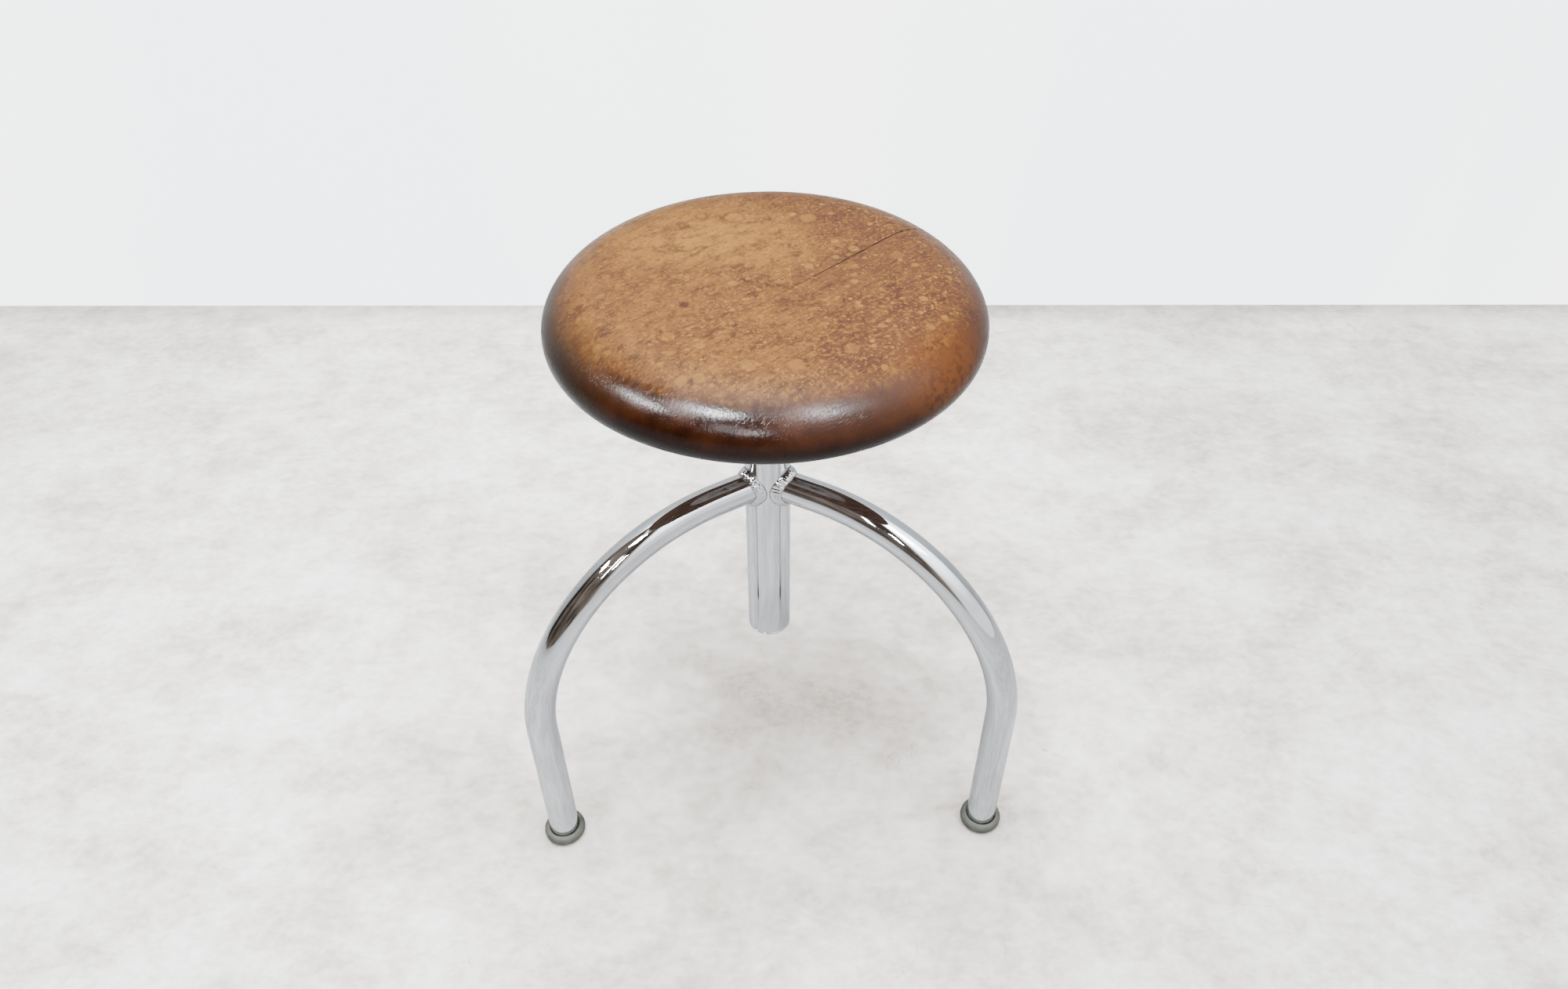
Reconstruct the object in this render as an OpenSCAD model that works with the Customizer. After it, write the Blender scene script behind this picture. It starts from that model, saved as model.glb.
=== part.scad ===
// Three-legged revolving stool: a turned wooden seat on a screw spindle, in a bent-tube frame.
// Millimetres, +Z up. The origin is on the column axis, at floor level.
// The front is towards -Y. The spindle has a right-hand thread, so the seat rises as it turns
// counter-clockwise, seen from above.

/* [Seat] */
// Diameter of the wooden seat
seat_d = 310; // [290:1:340]
// Thickness of the wooden seat
seat_t = 44; // [38:1:50]
// Height of the seat's top above the floor
seat_height = 504.5; // [502:0.5:508]
// How far in from the rim the upper rounding starts
seat_round_in = 53; // [30:1:60]
// How far below the top the seat is widest
seat_round_down = 33; // [24:1:34]
// How far in from the rim the lower rounding ends
seat_under_in = 7; // [4:1:12]
// Direction of the wood grain, from +X towards +Y, in degrees
grain_angle = 43; // [0:1:90]
// Distance from the centre to the glue line between the two boards
glue_line = 26.3; // [20:0.1:28]

/* [Column] */
// Outside diameter of the column tube
column_d = 36; // [35:0.5:38]
// Wall of the column tube
column_wall = 2; // [1.5:0.5:2]
// Height of the column's lower end above the floor
column_low = 154; // [148:1:155]
// Height of the top of the column tube
column_top = 382; // [380:1:383]

/* [Legs] */
// Outside diameter of the leg tube
leg_d = 25; // [22:0.5:26]
// Wall of the leg tube
leg_wall = 1.5; // [1:0.5:2]
// Distance from the column axis to the upright part of each leg
leg_reach = 216; // [210:1:230]
// Height at which the legs leave the column
leg_height = 319; // [300:1:325]
// Radius of the leg's bend, at the middle of the tube
bend_r = 170; // [150:1:175]
// How far the weld reaches along the leg
weld_on_leg = 6.5; // [3:0.5:7]
// How far the weld reaches round the column
weld_on_column = 4.8; // [3:0.1:4.8]

/* [Feet] */
// Diameter of the rubber foot
foot_d = 36; // [34:1:40]
// Height of the foot's rim
foot_h = 10.5; // [10:0.5:14]

/* [Screw] */
// Outside diameter of the spindle's thread
thread_d = 24; // [20:1:24]
// Rise of the seat for one turn
thread_pitch = 5; // [4:1:5]
// Whole turns up from rest to the upper stop
turns_up = 26; // [20:1:26]

/* [Hidden] */
$fn = 96;
leg_count = 3;
leg_names = ["front_left", "front_right", "rear"];
leg_angles = [210, 330, 90];

// a cutter reaches this far past the face that it cuts
past = 1;
// two faces that slide on each other, or that turn past each other, stay this far apart
play = 0.05;
end_play = 0.25;

// Column and nut
column_r = column_d / 2;
bore_r = column_r - column_wall;
cap_rim = 3;
cap_spigot = 6;
cap_round = 2;
nut_flange_h = 8;
nut_flange_r = column_r + 3;
nut_flange_round = 1.5;
nut_body = 28;
nut_low = column_top - nut_body;
nut_screw_r = 2.5;
nut_screw_z = column_top - nut_body / 2;
nut_screw_in = thread_d / 2 + 1.5;

// Legs and feet
leg_r = leg_d / 2;
leg_bore_r = leg_r - leg_wall;
foot_r = foot_d / 2;
foot_sole_in = 4.5;
foot_recess_r = leg_r + 0.9;
foot_recess_z = 6;
foot_lip = 1.2;
foot_stem_top = 30;
foot_stem_lead = 2;

// Seat, plate and hub
seat_r = seat_d / 2;
seat_low = seat_height - seat_t;
plate_t = 5;
plate_r = 60;
plate_low = seat_low - plate_t;
hub_h = 28;
hub_r = 20;
hub_low = plate_low - hub_h;
hub_weld_w = 4.5;
hub_pin_r = 3;
hub_pin_z = hub_low + 10;
seat_screw_count = 4;
seat_screw_circle_r = 48;
seat_screw_r = 2.3;
seat_screw_length = 26;
seat_screw_head_r = 4.8;
seat_screw_head_h = 2.5;
seat_screw_slot_w = 1.2;
seat_screw_slot_h = 1;

// Spindle and what is on its lower end
spindle_r = thread_d / 2 - play;
bush_h = 12;
bush_top = nut_low - turns_up * thread_pitch - 2 * end_play;
bush_low = bush_top - bush_h;
bush_r = bore_r - 2 * play;
journal_r = 7;
washer_t = 2;
washer_r = 13;
washer_top = bush_low - end_play;
end_nut_top = washer_top - washer_t;
end_nut_h = 8;
end_nut_flats = 19;
end_nut_low = end_nut_top - end_nut_h;
spindle_end = end_nut_low - 1;
stub_r = 6;
split_pin_r = 1.25;
split_pin_z = end_nut_low + end_nut_h / 2;
split_pin_length = 23;

// The points of an arc, or of a quarter of an ellipse, about a centre
function arc(centre, radii, from, to, steps) =
    [for (i = [0 : steps])
        let (a = from + (to - from) * i / steps)
        [centre[0] + radii[0] * cos(a), centre[1] + radii[1] * sin(a)]];

// A ring round the Z axis, from one height to another
module ring(outer, inner, low, high) {
    translate([0, 0, low])
        linear_extrude(high - low)
            difference() {
                circle(outer);
                circle(inner);
            }
}

module at_leg(i) {
    rotate(leg_angles[i])
        children();
}

// ---- column ----

// A round hole through the wall, from the side
module nut_screw_holes() {
    for (side = [0, 180])
        rotate(side)
            translate([nut_screw_in, 0, nut_screw_z])
                rotate([0, 90, 0])
                    cylinder(r = nut_screw_r, h = column_r - nut_screw_in + past);
}

module column_tube() {
    color("gainsboro")
        difference() {
            ring(column_r, bore_r, column_low + cap_rim, column_top);
            nut_screw_holes();
        }
}

module column_end_cap() {
    color("gainsboro")
        translate([0, 0, column_low])
            rotate_extrude()
                polygon(concat(
                    [[0, 0]],
                    arc([column_r - cap_round, cap_round], [cap_round, cap_round], -90, 0, 6),
                    [[column_r, cap_rim], [bore_r, cap_rim],
                     [bore_r, cap_rim + cap_spigot], [0, cap_rim + cap_spigot]]
                ));
}

module thread_nut() {
    round_at = [nut_flange_r - nut_flange_round, nut_flange_h - nut_flange_round];
    color("darkkhaki")
        difference() {
            translate([0, 0, column_top])
                rotate_extrude()
                    polygon(concat(
                        [[thread_d / 2, -nut_body], [bore_r, -nut_body], [bore_r, 0],
                         [nut_flange_r, 0]],
                        arc(round_at, [nut_flange_round, nut_flange_round], 0, 90, 5),
                        [[thread_d / 2, nut_flange_h]]
                    ));
            nut_screw_holes();
        }
}

module nut_screws() {
    color("dimgray")
        for (side = [0, 180])
            rotate(side)
                translate([nut_screw_in, 0, nut_screw_z])
                    rotate([0, 90, 0])
                        cylinder(r = nut_screw_r, h = column_wall + bore_r - nut_screw_in - 0.5);
}

// ---- legs, drawn along +X and turned into place ----

// The leg's path as a solid rod: out from the column, round the bend and down
module leg_rod(r, foot_end) {
    bend_start = leg_reach - bend_r;
    bend_low = leg_height - bend_r;
    translate([0, 0, leg_height])
        rotate([0, 90, 0])
            cylinder(r = r, h = bend_start);
    translate([bend_start, 0, bend_low])
        rotate([90, 0, 0])
            rotate_extrude(angle = 90)
                translate([bend_r, 0])
                    circle(r);
    translate([leg_reach, 0, foot_end])
        cylinder(r = r, h = bend_low - foot_end);
}

module leg(i) {
    color("gainsboro")
        at_leg(i)
            difference() {
                leg_rod(leg_r, foot_recess_z);
                leg_rod(leg_bore_r, foot_recess_z - past);
                translate([0, 0, leg_height - leg_d])
                    cylinder(r = column_r, h = 2 * leg_d);
            }
}

// The weld's cross-section where the ring is at angle a round the leg: the root between the
// tubes, the toe on the leg, the crown, and the toe on the column
function weld_section(a) =
    let (
        side = leg_r * sin(a),
        up = leg_r * cos(a),
        out = sqrt(column_r * column_r - side * side),
        turn = asin(side / column_r) + weld_on_column * sin(a) / column_r * 180 / PI,
        root = [out - 0.8, side * 0.95, up * 0.95],
        leg_toe = [out + weld_on_leg, side * 0.995, up * 0.995],
        column_toe = [column_r * cos(turn) * 0.995, column_r * sin(turn) * 0.995,
                      up + weld_on_column * cos(a)],
        middle = (leg_toe + column_toe) / 2,
        crown = middle + (middle - root) * 0.16
    )
    [root, leg_toe, crown, column_toe];

module weld(i) {
    steps = 36;
    points = 4;
    ring_points = [for (s = [0 : steps - 1]) each weld_section(s * 360 / steps)];
    faces = [for (s = [0 : steps - 1], p = [0 : points - 1])
        let (
            next = (s + 1) % steps,
            q = (p + 1) % points,
            corners = [s * points + p, s * points + q, next * points + q, next * points + p]
        )
        each [[corners[0], corners[1], corners[2]], [corners[0], corners[2], corners[3]]]];
    color("silver")
        at_leg(i)
            translate([0, 0, leg_height])
                polyhedron(ring_points, faces);
}

module foot(i) {
    color("darkseagreen")
        at_leg(i)
            translate([leg_reach, 0, 0])
                rotate_extrude()
                    polygon(concat(
                        [[0, 0]],
                        arc([foot_r - foot_sole_in, foot_h / 2], [foot_sole_in, foot_h / 2],
                            -90, 70, 12),
                        arc([foot_recess_r + foot_lip, foot_h - foot_lip], [foot_lip, foot_lip],
                            90, 180, 4),
                        [[foot_recess_r, foot_recess_z], [leg_bore_r, foot_recess_z],
                         [leg_bore_r, foot_stem_top - foot_stem_lead],
                         [leg_bore_r - foot_stem_lead, foot_stem_top], [0, foot_stem_top]]
                    ));
}

// ---- guide, which rises with the spindle and doesn't turn ----

module guide_bush() {
    color("peru")
        ring(bush_r, journal_r + play, bush_low, bush_top);
}

// ---- spindle and seat ----

module hub_pin_hole() {
    rotate([0, 0, grain_angle])
        translate([0, 0, hub_pin_z])
            rotate([0, 90, 0])
                cylinder(r = hub_pin_r, h = 2 * (hub_r + past), center = true);
}

module split_pin_hole() {
    translate([0, 0, split_pin_z])
        rotate([0, 90, 0])
            cylinder(r = split_pin_r, h = split_pin_length + 2 * past, center = true);
}

module spindle() {
    color("darkgray")
        difference() {
            rotate_extrude()
                polygon([
                    [0, spindle_end], [stub_r, spindle_end],
                    [stub_r, washer_top - washer_t], [journal_r, washer_top - washer_t],
                    [journal_r, bush_top + end_play],
                    [spindle_r, bush_top + end_play], [spindle_r, plate_low], [0, plate_low]
                ]);
            hub_pin_hole();
            split_pin_hole();
        }
}

module guide_washer() {
    color("silver")
        ring(washer_r, journal_r, end_nut_top, washer_top);
}

module spindle_end_nut() {
    color("silver")
        difference() {
            translate([0, 0, end_nut_low])
                cylinder(r = end_nut_flats / sqrt(3), h = end_nut_h, $fn = 6);
            translate([0, 0, end_nut_low - past])
                cylinder(r = stub_r, h = end_nut_h + 2 * past);
            split_pin_hole();
        }
}

module spindle_split_pin() {
    color("silver")
        translate([0, 0, split_pin_z])
            rotate([0, 90, 0])
                cylinder(r = split_pin_r, h = split_pin_length, center = true);
}

module seat_hub() {
    color("dimgray")
        difference() {
            ring(hub_r, thread_d / 2, hub_low, plate_low);
            hub_pin_hole();
        }
}

module hub_pin() {
    color("silver")
        rotate([0, 0, grain_angle])
            translate([0, 0, hub_pin_z])
                rotate([0, 90, 0])
                    cylinder(r = hub_pin_r, h = 2 * hub_r, center = true);
}

module hub_weld() {
    color("gray")
        translate([0, 0, plate_low])
            rotate_extrude()
                polygon([[hub_r, 0], [hub_r, -hub_weld_w], [hub_r + hub_weld_w, 0]]);
}

module at_seat_screws() {
    for (i = [0 : seat_screw_count - 1])
        rotate(grain_angle + (i + 0.5) * 360 / seat_screw_count)
            translate([seat_screw_circle_r, 0, plate_low])
                children();
}

// A countersunk screw pointing up, with its head flush with the plate's underside
module seat_screw() {
    cylinder(r1 = seat_screw_head_r, r2 = seat_screw_r, h = seat_screw_head_h);
    translate([0, 0, seat_screw_head_h])
        cylinder(r = seat_screw_r, h = seat_screw_length - seat_screw_head_h);
}

module seat_plate() {
    color("dimgray")
        difference() {
            translate([0, 0, plate_low])
                cylinder(r = plate_r, h = plate_t);
            at_seat_screws()
                seat_screw();
        }
}

module seat_screws() {
    color("silver")
        at_seat_screws()
            difference() {
                seat_screw();
                translate([-seat_screw_head_r, -seat_screw_slot_w / 2, -past])
                    cube([2 * seat_screw_head_r, seat_screw_slot_w, past + seat_screw_slot_h]);
            }
}

// The whole turned seat, before it is parted at the glue line
module turned_seat() {
    under_up = seat_t - seat_round_down;
    translate([0, 0, seat_low])
        rotate_extrude()
            polygon(concat(
                [[0, 0]],
                arc([seat_r - seat_under_in, under_up], [seat_under_in, under_up], -90, 0, 6),
                arc([seat_r - seat_round_in, under_up], [seat_round_in, seat_round_down],
                    0, 90, 18),
                [[0, seat_t]]
            ));
}

// One board: the part of the seat between two distances from the centre, across the grain
module seat_board(from, to) {
    color("sienna")
        difference() {
            intersection() {
                turned_seat();
                rotate(grain_angle - 90)
                    translate([from, -seat_d, seat_low - past])
                        cube([to - from, 2 * seat_d, seat_t + 2 * past]);
            }
            at_seat_screws()
                seat_screw();
        }
}

column_tube();
column_end_cap();
thread_nut();
nut_screws();
for (i = [0 : leg_count - 1]) {
    leg(i);
    weld(i);
    foot(i);
}
guide_bush();
spindle();
guide_washer();
spindle_end_nut();
spindle_split_pin();
seat_hub();
hub_pin();
hub_weld();
seat_plate();
seat_screws();
seat_board(-seat_r - past, glue_line);  // seat_board_wide
seat_board(glue_line, seat_r + past);  // seat_board_narrow
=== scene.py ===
import math

import bmesh
import bpy
from mathutils import Matrix, Vector, noise


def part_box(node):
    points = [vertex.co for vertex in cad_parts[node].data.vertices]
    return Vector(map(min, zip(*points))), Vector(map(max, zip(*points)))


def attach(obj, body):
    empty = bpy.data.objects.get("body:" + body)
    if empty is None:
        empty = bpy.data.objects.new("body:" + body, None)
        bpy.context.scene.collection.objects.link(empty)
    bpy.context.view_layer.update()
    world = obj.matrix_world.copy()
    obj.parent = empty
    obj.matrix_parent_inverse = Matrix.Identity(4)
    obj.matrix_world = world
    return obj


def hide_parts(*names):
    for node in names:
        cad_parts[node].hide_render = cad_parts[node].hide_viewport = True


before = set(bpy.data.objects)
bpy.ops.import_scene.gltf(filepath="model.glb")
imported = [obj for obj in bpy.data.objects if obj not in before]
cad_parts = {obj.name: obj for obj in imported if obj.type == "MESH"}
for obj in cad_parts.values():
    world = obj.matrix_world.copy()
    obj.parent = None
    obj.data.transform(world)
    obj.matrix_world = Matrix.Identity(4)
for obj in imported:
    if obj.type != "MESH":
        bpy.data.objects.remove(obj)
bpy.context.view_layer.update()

MM = 0.001
LEGS = ("front_left", "front_right", "rear")


# ---------------------------------------------------------------- sizes, read from the frame

def joined_box(*nodes):
    """Lowest and highest corner of several CAD nodes together."""
    corners = [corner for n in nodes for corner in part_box(n)]
    low = Vector([min(c[i] for c in corners) for i in range(3)])
    high = Vector([max(c[i] for c in corners) for i in range(3)])
    return low, high


def radius_of(node):
    """Radius of a CAD node that is round about the column axis."""
    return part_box(node)[1].x


SEAT_LOW, SEAT_HIGH = joined_box("seat_board_wide", "seat_board_narrow")
SEAT_R = (SEAT_HIGH.x - SEAT_LOW.x) / 2
SEAT_TOP = SEAT_HIGH.z
SEAT_BOTTOM = SEAT_LOW.z
# the boards run at this angle, and their joint is this far from the axis
GRAIN = math.radians(43)
GLUE_LINE = 26.3 * MM
WITH_GRAIN = (math.cos(GRAIN), math.sin(GRAIN), 0)
ACROSS = (math.sin(GRAIN), -math.cos(GRAIN), 0)
# how far the rounded rim reaches in and down from the top, and in from below
ROUND_IN = 53 * MM
ROUND_DOWN = 33 * MM
UNDER_IN = 7 * MM

COLUMN_R = radius_of("column_tube")
COLUMN_INNER = COLUMN_R - 2 * MM
COLUMN_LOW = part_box("column_tube")[0].z
COLUMN_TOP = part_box("column_tube")[1].z

LEG_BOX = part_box("leg_rear")
LEG_R = (LEG_BOX[1].x - LEG_BOX[0].x) / 2
LEG_REACH = LEG_BOX[1].y - LEG_R
LEG_HEIGHT = LEG_BOX[1].z - LEG_R
LEG_END = LEG_BOX[0].z
BEND_R = 170 * MM
BEND_START = LEG_REACH - BEND_R
BEND_LOW = LEG_HEIGHT - BEND_R
LEG_TURNS = dict(zip(LEGS, (math.radians(210), math.radians(330), math.radians(90))))

# every foot and its leg are like the rear ones, which stand square to the axes
FOOT_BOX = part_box("foot_rear")
FOOT_R = (FOOT_BOX[1].x - FOOT_BOX[0].x) / 2

NUT_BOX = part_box("thread_nut")
SPINDLE_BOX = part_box("spindle")
BUSH_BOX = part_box("guide_bush")


# ---------------------------------------------------------------- mesh helpers

def smoothstep(low, high, x):
    """0 below low, 1 above high, and a smooth rise between them."""
    t = min(max((x - low) / (high - low), 0), 1)
    return t * t * (3 - 2 * t)


def wobble(p, size, seed=0.0):
    """Smooth noise from -1 to 1 that varies over about size metres."""
    return noise.noise(Vector((p[0] / size + seed, p[1] / size - seed, p[2] / size + 2 * seed)))


def dress(obj, material):
    """The object, with this material and no other."""
    obj.data.materials.clear()
    obj.data.materials.append(material)
    return obj


def smooth_object(mesh, body, node, material, sharp):
    """A smooth-shaded object of a mesh, which rides on a body and stands for a CAD node."""
    mesh.shade_smooth()
    mesh.set_sharp_from_angle(angle=math.radians(sharp))
    obj = bpy.data.objects.new(mesh.name, mesh)
    bpy.context.scene.collection.objects.link(obj)
    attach(obj, body)
    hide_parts(node)
    return dress(obj, material)


def piece(name, verts, faces, body, node, material, sharp=35):
    """An object made of vertices and faces, which stands for a CAD node."""
    mesh = bpy.data.meshes.new(name)
    mesh.from_pydata([tuple(v) for v in verts], [], faces)
    mesh.validate()
    return smooth_object(mesh, body, node, material, sharp)


def arc(centre, radii, start, end, steps):
    """Points on a quarter ellipse, or any stretch of one, as (radius, height) pairs."""
    angles = [math.radians(start + (end - start) * i / steps) for i in range(steps + 1)]
    return [(centre[0] + radii[0] * math.cos(a), centre[1] + radii[1] * math.sin(a)) for a in angles]


def rounded(corners, size, steps=4):
    """An outline of (radius, height) corners with each inner corner rounded off by a small arc."""
    out = [corners[0]]
    for before, here, after in zip(corners, corners[1:], corners[2:]):
        a, b, c = Vector(before), Vector(here), Vector(after)
        reach = min(size, (a - b).length * 0.45, (c - b).length * 0.45)
        start = b + (a - b).normalized() * reach
        end = b + (c - b).normalized() * reach
        for i in range(steps + 1):
            t = i / steps
            out.append(tuple((1 - t) ** 2 * start + 2 * t * (1 - t) * b + t * t * end))
    out.append(corners[-1])
    return out


def grid_faces(rows, columns):
    """Quads between rows of vertices that each close round into a ring."""
    faces = []
    for r in range(rows - 1):
        for c in range(columns):
            n = (c + 1) % columns
            at = r * columns
            faces.append((at + c, at + n, at + columns + n, at + columns + c))
    return faces


def lathe(outline, segments=96, centre=(0, 0), closed=False):
    """Vertices and faces of an outline turned about a vertical axis.

    The outline runs so that the solid is on its left. Ends on the axis close with a fan, and a
    closed outline makes a ring.
    """
    points = list(outline)
    start_pole = points[0][0] < 1e-9
    end_pole = points[-1][0] < 1e-9
    middle = points[1 if start_pole else 0:len(points) - 1 if end_pole else len(points)]
    if closed:
        middle = middle + [middle[0]]
    verts = []
    for r, z in middle:
        for s in range(segments):
            a = 2 * math.pi * s / segments
            verts.append((centre[0] + r * math.cos(a), centre[1] + r * math.sin(a), z))
    faces = grid_faces(len(middle), segments)
    if closed:
        last = (len(middle) - 1) * segments
        faces = [tuple(v - last if v >= last else v for v in f) for f in faces]
        verts = verts[:last]
    for pole, row, at_start in ((start_pole, 0, True), (end_pole, len(middle) - 1, False)):
        if pole:
            hub = len(verts)
            verts.append((centre[0], centre[1], points[0 if at_start else -1][1]))
            for s in range(segments):
                a, b = row * segments + s, row * segments + (s + 1) % segments
                faces.append((hub, b, a) if at_start else (hub, a, b))
    return verts, faces


def turned(verts, angle):
    """The points, turned about the column axis."""
    spin = Matrix.Rotation(angle, 3, "Z")
    return [spin @ Vector(v) for v in verts]


# ---------------------------------------------------------------- node trees

def srgb(r, g, b):
    """A colour given as 0 to 255 display values."""
    def linear(c):
        c /= 255
        return c / 12.92 if c <= 0.04045 else ((c + 0.055) / 1.055) ** 2.4
    return (linear(r), linear(g), linear(b), 1.0)


class Tree:
    """Short calls for building nodes. Each adds one node and returns what it gives out."""

    def __init__(self, tree):
        self.tree = tree

    def put(self, socket, value):
        if isinstance(value, bpy.types.NodeSocket):
            self.tree.links.new(value, socket)
        else:
            socket.default_value = value

    def new(self, kind, **settings):
        node = self.tree.nodes.new(kind)
        for key, value in settings.items():
            setattr(node, key, value)
        return node

    def math(self, operation, a, b=0.0, c=0.0):
        node = self.new("ShaderNodeMath", operation=operation)
        for socket, value in zip(node.inputs, (a, b, c)):
            self.put(socket, value)
        return node.outputs[0]

    def times(self, a, b):
        return self.math("MULTIPLY", a, b)

    def plus(self, a, b):
        return self.math("ADD", a, b)

    def minus(self, a, b):
        return self.math("SUBTRACT", a, b)

    def vector(self, operation, a, b=(0, 0, 0)):
        node = self.new("ShaderNodeVectorMath", operation=operation)
        self.put(node.inputs[0], a)
        if operation == "SCALE":
            self.put(node.inputs["Scale"], b)
        else:
            self.put(node.inputs[1], b)
        return node.outputs["Value" if operation in ("LENGTH", "DOT_PRODUCT", "DISTANCE") else "Vector"]

    def stretch(self, vector, by):
        return self.vector("MULTIPLY", vector, by)

    def turn(self, vector, angle, scale=(1, 1, 1)):
        """The vector turned about Z, then stretched."""
        spin = self.new("ShaderNodeVectorRotate", rotation_type="Z_AXIS")
        self.put(spin.inputs["Vector"], vector)
        spin.inputs["Angle"].default_value = angle
        return self.stretch(spin.outputs[0], scale)

    def noise(self, vector, scale, detail=4.0, rough=0.5, distortion=0.0):
        node = self.new("ShaderNodeTexNoise")
        self.put(node.inputs["Vector"], vector)
        node.inputs["Scale"].default_value = scale
        node.inputs["Detail"].default_value = detail
        node.inputs["Roughness"].default_value = rough
        node.inputs["Distortion"].default_value = distortion
        return node.outputs["Fac"]

    def cells(self, vector, scale):
        node = self.new("ShaderNodeTexVoronoi")
        self.put(node.inputs["Vector"], vector)
        node.inputs["Scale"].default_value = scale
        return node

    def ramp(self, value, low, high, to_low=0.0, to_high=1.0):
        """value mapped from low..high to to_low..to_high, smoothly and clamped."""
        node = self.new("ShaderNodeMapRange", interpolation_type="SMOOTHSTEP")
        for socket, v in zip(node.inputs, (value, low, high, to_low, to_high)):
            self.put(socket, v)
        return node.outputs[0]

    def mix(self, share, a, b, blend="MIX"):
        node = self.new("ShaderNodeMix", data_type="RGBA", blend_type=blend)
        self.put(node.inputs[0], share)
        self.put(node.inputs[6], a)
        self.put(node.inputs[7], b)
        return node.outputs[2]

    def split(self, vector):
        node = self.new("ShaderNodeSeparateXYZ")
        self.put(node.inputs[0], vector)
        return node.outputs

    def join(self, x, y, z):
        node = self.new("ShaderNodeCombineXYZ")
        for socket, value in zip(node.inputs, (x, y, z)):
            self.put(socket, value)
        return node.outputs[0]

    def attribute(self, name):
        return self.new("ShaderNodeAttribute", attribute_name=name).outputs["Fac"]

    def bump(self, height, distance, strength=1.0, normal=None):
        node = self.new("ShaderNodeBump")
        node.inputs["Strength"].default_value = strength
        node.inputs["Distance"].default_value = distance
        self.put(node.inputs["Height"], height)
        if normal is not None:
            self.put(node.inputs["Normal"], normal)
        return node.outputs[0]


class Nodes(Tree):
    """One material's nodes."""

    def __init__(self, name):
        self.material = bpy.data.materials.new(name)
        self.material.use_nodes = True
        super().__init__(self.material.node_tree)
        self.shader = self.tree.nodes["Principled BSDF"]
        self.place = self.new("ShaderNodeTexCoord").outputs["Object"]

    def set(self, **inputs):
        for name, value in inputs.items():
            self.put(self.shader.inputs[name.replace("_", " ")], value)
        return self.material


# ---------------------------------------------------------------- materials

def chrome_material():
    """Old bright plating: soft smudges, hairline scratches, tiny pits and rust freckles."""
    n = Nodes("bright_plating")
    p = n.place
    cloud = n.noise(p, 22, 3, 0.5)
    hair = n.noise(n.stretch(p, (1, 1, 0.12)), 900, 2, 0.6)
    pits = n.cells(p, 420).outputs["Distance"]
    pit = n.times(n.ramp(pits, 0.13, 0.06), n.ramp(n.noise(p, 42, 2, 0.5), 0.54, 0.62))
    pit = n.times(pit, 0.8)
    base = n.mix(n.ramp(cloud, 0.35, 0.7), srgb(198, 200, 203), srgb(208, 210, 212))
    base = n.mix(pit, base, srgb(72, 58, 48))
    rough = n.ramp(cloud, 0.4, 0.75, 0.035, 0.085)
    rough = n.plus(rough, n.times(pit, 0.45))
    rough = n.plus(rough, n.ramp(hair, 0.66, 0.8, 0.0, 0.04))
    normal = n.bump(n.times(pit, -1), 0.10 * MM, 0.25)
    normal = n.bump(n.noise(p, 45, 2, 0.45), 0.25 * MM, 0.25, normal)
    return n.set(Base_Color=base, Metallic=1.0, Roughness=rough, Normal=normal)


def weld_material():
    """Plated weld: bright crowns, fine ripples, darker toes and pinholes."""
    n = Nodes("weld_plating")
    p = n.place
    toe = n.attribute("toe")
    lumps = n.noise(p, 240, 3, 0.5)
    pin = n.ramp(n.cells(p, 520).outputs["Distance"], 0.22, 0.10)
    pin = n.times(pin, n.ramp(n.noise(p, 150, 2, 0.5), 0.50, 0.58))
    # darker and rougher towards the toes of the bead, unevenly
    darker_toes = n.times(n.ramp(toe, 0.35, 0.9), n.ramp(lumps, 0.25, 0.6, 0.45, 1.0))
    base = n.mix(darker_toes, srgb(200, 201, 204), srgb(74, 67, 59))
    base = n.mix(pin, base, srgb(44, 38, 33))
    rough = n.plus(n.ramp(lumps, 0.3, 0.7, 0.05, 0.12), n.times(darker_toes, 0.22))
    normal = n.bump(lumps, 0.40 * MM, 0.75)
    normal = n.bump(n.times(pin, -1), 0.4 * MM, 0.9, normal)
    return n.set(Base_Color=base, Metallic=1.0, Roughness=rough, Normal=normal)


def steel_material(name, colour, grease=0.4):
    """Turned or rolled steel with fine marks, oil and a little rust."""
    n = Nodes(name)
    p = n.place
    rings = n.noise(n.stretch(p, (1, 1, 14)), 260, 3, 0.6)
    stain = n.noise(p, 70, 5, 0.6)
    rust = n.ramp(n.noise(p, 150, 6, 0.65), 0.6, 0.72)
    base = n.mix(n.ramp(stain, 0.35, 0.65), colour, [c * 0.62 for c in colour[:3]] + [1])
    base = n.mix(n.times(rust, 0.55), base, srgb(96, 62, 40))
    rough = n.ramp(stain, 0.3, 0.7, 0.28, 0.28 + 0.3 * grease)
    rough = n.plus(rough, n.times(rust, 0.25))
    metal = n.ramp(rust, 0.2, 0.9, 1.0, 0.35)
    normal = n.bump(rings, 0.05 * MM, 0.5)
    return n.set(Base_Color=base, Metallic=metal, Roughness=rough, Normal=normal)


def dull_iron_material():
    """Dull grey iron, with a dusty bloom and brown rust where the finish has gone."""
    n = Nodes("plate_iron_dull")
    p = n.place
    rolled = n.noise(p, 420, 3, 0.5)
    dust = n.noise(p, 34, 5, 0.6)
    rust = n.ramp(n.noise(p, 95, 6, 0.7), 0.58, 0.68)
    base = n.mix(n.ramp(dust, 0.35, 0.7), srgb(112, 107, 101), srgb(148, 143, 136))
    base = n.mix(n.times(rust, 0.75), base, srgb(92, 56, 36))
    rough = n.plus(n.ramp(dust, 0.3, 0.7, 0.36, 0.52), n.times(rust, 0.2))
    normal = n.bump(rolled, 0.06 * MM, 0.4)
    normal = n.bump(rust, 0.1 * MM, 0.5, normal)
    metal = n.ramp(rust, 0.0, 1.0, 0.35, 0.05)
    return n.set(Base_Color=base, Metallic=metal, Roughness=rough, Normal=normal)


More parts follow.
